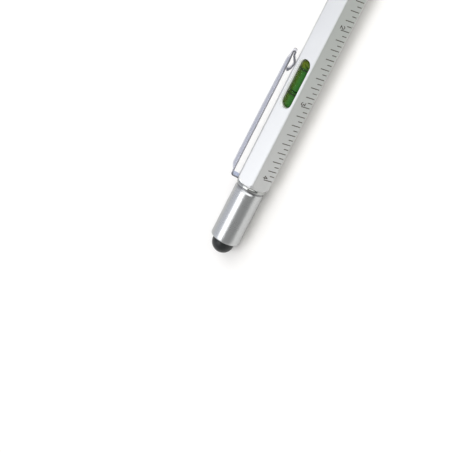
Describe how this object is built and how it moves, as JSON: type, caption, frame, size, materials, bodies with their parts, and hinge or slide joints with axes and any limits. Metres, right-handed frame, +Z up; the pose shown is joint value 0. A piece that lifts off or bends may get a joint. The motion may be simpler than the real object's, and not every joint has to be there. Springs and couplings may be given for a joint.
{
  "type": "multifunction pen",
  "caption": "Hexagonal twist ballpoint pen with ruler scales, a spirit level, a pocket clip, and a screw-on stylus cap that covers a driver bit.",
  "frame": {"origin": "the middle of the barrel's flat that the pen lies on, under the pen's axis and halfway along the barrel", "axes": "+X along the pen to the writing end; +Z up, out of the flat that holds the spirit level; +Y the side of the pocket clip"},
  "size_m": [0.151, 0.0131, 0.0103],
  "materials": {
    "satin_aluminium": "satin anodised",
    "polished_metal": "fine turned and polished",
    "bright_chrome": "mirror polished",
    "clip_steel": "polished spring steel",
    "scale_ink": "flat printed ink",
    "clear_acrylic": "clear",
    "level_green": "clear green liquid",
    "level_black": "printed rings",
    "white_plastic": "moulded",
    "grey_plastic": "moulded",
    "black_plastic": "moulded",
    "black_rubber": "soft matt",
    "turned_brass": "turned",
    "tool_steel": "ground and hardened",
    "magnet_nickel": "nickel plated",
    "blue_ink": "wet"
  },
  "bodies": {
    "barrel": {"barrel": "satin_aluminium", "inch_scale": "scale_ink", "metric_scale": "scale_ink", "level_vial": "clear_acrylic", "level_liquid": "level_green", "level_lines": "level_black", "level_seat": "white_plastic", "collar_ring": "bright_chrome", "threaded_insert": "turned_brass", "bit_magnet": "magnet_nickel", "driver_bit": "tool_steel", "nose_ring": "bright_chrome", "nose_bush": "turned_brass", "guide_tube": "grey_plastic"},
    "clip": {"clip": "clip_steel"},
    "seal": {"cap_seal": "black_rubber"},
    "cap": {"stylus_cap": "polished_metal", "cap_thread_bush": "turned_brass", "stylus_core": "black_plastic", "stylus_tip": "black_rubber"},
    "nose": {"nose_cone": "polished_metal", "snap_ring": "tool_steel", "drive_tube": "grey_plastic"},
    "refill": {"refill_carrier": "grey_plastic", "follower_pin": "tool_steel", "refill_tube": "tool_steel", "refill_ink": "blue_ink", "refill_tip": "turned_brass", "writing_ball": "tool_steel"}
  },
  "joints": [
    {"name": "clip_flex", "type": "hinge", "parent": "barrel", "child": "clip", "pos_m": [-0.05468, 0.00355, 0.00705], "axis": [0, -0.5, 0.866], "range_deg": [0, 4], "stiffness_Nm_per_rad": 1},
    {"name": "cap_pull", "type": "slide", "parent": "barrel", "child": "seal", "axis": [-1, 0, 0], "range_m": [0, 0.03]},
    {"name": "cap_turn", "type": "hinge", "parent": "seal", "child": "cap", "pos_m": [-0.0568, 0, 0.005], "axis": [-1, 0, 0], "continuous": true},
    {"name": "nose_twist", "type": "hinge", "parent": "barrel", "child": "nose", "pos_m": [0.0567, 0, 0.005], "axis": [1, 0, 0], "range_deg": [0, 180]},
    {"name": "refill_slide", "type": "slide", "parent": "barrel", "child": "refill", "axis": [1, 0, 0], "range_m": [0, 0.0037]}
  ],
  "couplings": [
    {"joint": "refill_slide", "follows": "nose_twist", "m_per_rad": 0.0011459}
  ]
}
